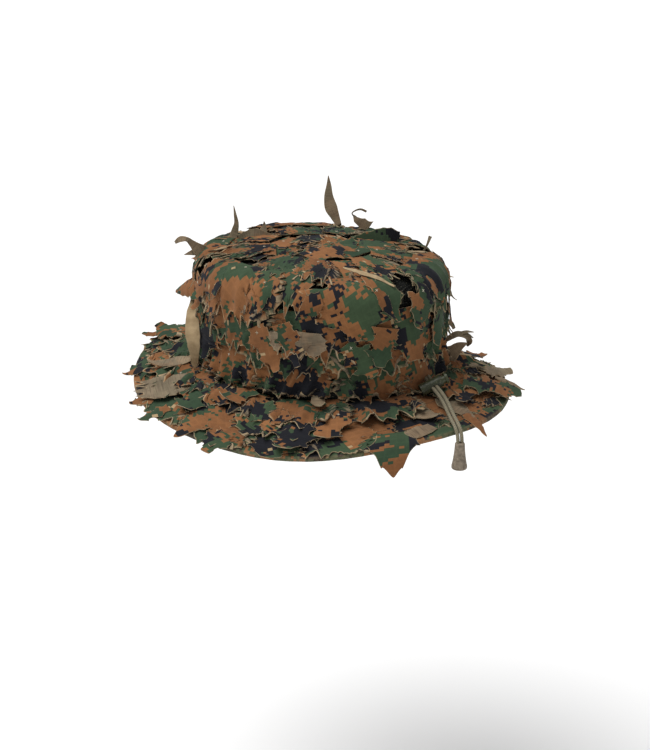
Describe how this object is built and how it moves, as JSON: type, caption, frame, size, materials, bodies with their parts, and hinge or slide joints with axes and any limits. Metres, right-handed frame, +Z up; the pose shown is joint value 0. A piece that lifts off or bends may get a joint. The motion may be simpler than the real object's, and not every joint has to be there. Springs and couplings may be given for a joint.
{
  "type": "boonie hat",
  "caption": "Wide-brimmed soft boonie hat covered with serrated cut-cloth leaves, with a mesh crown, rear drawcord, barrel cord lock and bell cord end.",
  "frame": {"origin": "middle of the head opening, on the seam line between crown and brim", "axes": "+Z up through the crown, the wearer faces -Y, the drawcord leaves at the rear, +Y"},
  "size_m": [0.294, 0.3405, 0.1801],
  "materials": {
    "camo_cloth": "ripstop cotton blend, blotched camouflage print",
    "leaf_cloth": "laser-cut printed cloth, taupe on the reverse, tan cut edges",
    "crown_mesh": "black honeycomb spacer mesh, matte",
    "dark_tape": "dark woven tape, matte",
    "label_tape": "blank white satin tape",
    "interlining": "stiff felted interlining",
    "brim_lining": "ripstop cotton blend, blotched camouflage print",
    "eyelet_metal": "dark matte enamel",
    "cord": "olive braided cord",
    "lock_plastic": "olive moulded plastic",
    "bell_plastic": "taupe moulded plastic, slightly speckled",
    "spring_steel": "bare spring wire"
  },
  "bodies": {
    "hat": {"crown_panel_front": "crown_mesh", "crown_panel_rear": "crown_mesh", "crown_tip": "crown_mesh", "crown_seam_tape": "dark_tape", "foliage_band": "camo_cloth", "sweatband": "dark_tape", "care_label": "label_tape", "brim_upper": "camo_cloth", "brim_interlining": "interlining", "brim_lower": "brim_lining", "brim_binding": "camo_cloth", "eyelet": "eyelet_metal", "drawcord": "cord", "leaf_crown_low_1": "leaf_cloth", "leaf_crown_low_2": "leaf_cloth", "leaf_crown_low_3": "leaf_cloth", "leaf_crown_low_4": "leaf_cloth", "leaf_crown_low_5": "leaf_cloth", "leaf_crown_low_6": "leaf_cloth", "leaf_crown_low_7": "leaf_cloth", "leaf_crown_low_8": "leaf_cloth", "leaf_crown_high_1": "leaf_cloth", "leaf_crown_high_2": "leaf_cloth", "leaf_crown_high_3": "leaf_cloth", "leaf_crown_high_4": "leaf_cloth", "leaf_crown_high_5": "leaf_cloth", "leaf_crown_high_6": "leaf_cloth", "leaf_crown_high_7": "leaf_cloth", "leaf_crown_high_8": "leaf_cloth", "leaf_shoulder_1": "leaf_cloth", "leaf_shoulder_2": "leaf_cloth", "leaf_shoulder_3": "leaf_cloth", "leaf_shoulder_4": "leaf_cloth", "leaf_shoulder_5": "leaf_cloth", "leaf_shoulder_6": "leaf_cloth", "leaf_tip_1": "leaf_cloth", "leaf_tip_2": "leaf_cloth", "leaf_brim_1": "leaf_cloth", "leaf_brim_2": "leaf_cloth", "leaf_brim_3": "leaf_cloth", "leaf_brim_4": "leaf_cloth", "leaf_brim_5": "leaf_cloth", "leaf_brim_6": "leaf_cloth", "leaf_brim_7": "leaf_cloth", "leaf_brim_8": "leaf_cloth"},
    "tail": {"tail_strand_left": "cord", "tail_strand_right": "cord", "cord_end": "bell_plastic", "cord_end_knot": "cord"},
    "cord_lock": {"cord_lock_body": "lock_plastic", "cord_lock_spring": "spring_steel"},
    "lock_plunger": {"cord_lock_plunger": "lock_plastic"},
    "leaf_spike_tall": {"leaf_spike_tall": "leaf_cloth"},
    "leaf_spike_front": {"leaf_spike_front": "leaf_cloth"},
    "leaf_curl_front": {"leaf_curl_front": "leaf_cloth"},
    "leaf_curl_far": {"leaf_curl_far": "leaf_cloth"},
    "leaf_flap_front": {"leaf_flap_front": "leaf_cloth"},
    "leaf_strip_front": {"leaf_strip_front": "leaf_cloth"},
    "leaf_loop_rear": {"leaf_loop_rear": "leaf_cloth"},
    "leaf_edge": {"leaf_edge": "leaf_cloth"}
  },
  "joints": [
    {"name": "tail_lift", "type": "hinge", "parent": "hat", "child": "tail", "pos_m": [0, 0.108, 0.0095], "axis": [0.8292, -0.5589, 0], "range_deg": [0, 30]},
    {"name": "lock_slide", "type": "slide", "parent": "tail", "child": "cord_lock", "axis": [0.5514, 0.818, -0.164], "range_m": [0, 0.008]},
    {"name": "plunger_press", "type": "slide", "parent": "cord_lock", "child": "lock_plunger", "axis": [0.7345, -0.5692, -0.3695], "range_m": [0, 0.003], "stiffness_N_per_m": 1200, "springref_m": -0.004, "deforming": ["cord_lock_spring"]},
    {"name": "spike_tall_sway", "type": "hinge", "parent": "hat", "child": "leaf_spike_tall", "pos_m": [-0.066, -0.026, 0.10007], "axis": [-0.9231, 0.336, -0.1869], "range_deg": [-25, 25], "stiffness_Nm_per_rad": 0.002},
    {"name": "spike_front_sway", "type": "hinge", "parent": "hat", "child": "leaf_spike_front", "pos_m": [0.016, -0.08, 0.10024], "axis": [0.4953, 0.8579, 0.1366], "range_deg": [-25, 25], "stiffness_Nm_per_rad": 0.002},
    {"name": "curl_front_sway", "type": "hinge", "parent": "hat", "child": "leaf_curl_front", "pos_m": [0.03411, -0.09833, 0.09391], "axis": [-0.6723, -0.6778, -0.2976], "range_deg": [-12, 30], "stiffness_Nm_per_rad": 0.002},
    {"name": "curl_far_sway", "type": "hinge", "parent": "hat", "child": "leaf_curl_far", "pos_m": [-0.07, 0.01, 0.09983], "axis": [-0.94, 0.2519, -0.2303], "range_deg": [-20, 20], "stiffness_Nm_per_rad": 0.002},
    {"name": "flap_front_sway", "type": "hinge", "parent": "hat", "child": "leaf_flap_front", "pos_m": [0.07101, -0.07899, 0.062], "axis": [-0.316, -0.3237, 0.8919], "range_deg": [-8, 35], "stiffness_Nm_per_rad": 0.002},
    {"name": "strip_front_sway", "type": "hinge", "parent": "hat", "child": "leaf_strip_front", "pos_m": [0.05689, -0.09353, 0.05], "axis": [-0.7687, -0.6261, -0.1307], "range_deg": [0, 25], "stiffness_Nm_per_rad": 0.002},
    {"name": "loop_rear_sway", "type": "hinge", "parent": "hat", "child": "leaf_loop_rear", "pos_m": [-0.06932, 0.08257, 0.034], "axis": [0.5787, 0.6696, -0.4655], "range_deg": [-15, 30], "stiffness_Nm_per_rad": 0.002},
    {"name": "edge_sway", "type": "hinge", "parent": "hat", "child": "leaf_edge", "pos_m": [0.07846, 0.12876, -0.0119], "axis": [0.8579, -0.4976, -0.128], "range_deg": [0, 40], "stiffness_Nm_per_rad": 0.002}
  ]
}
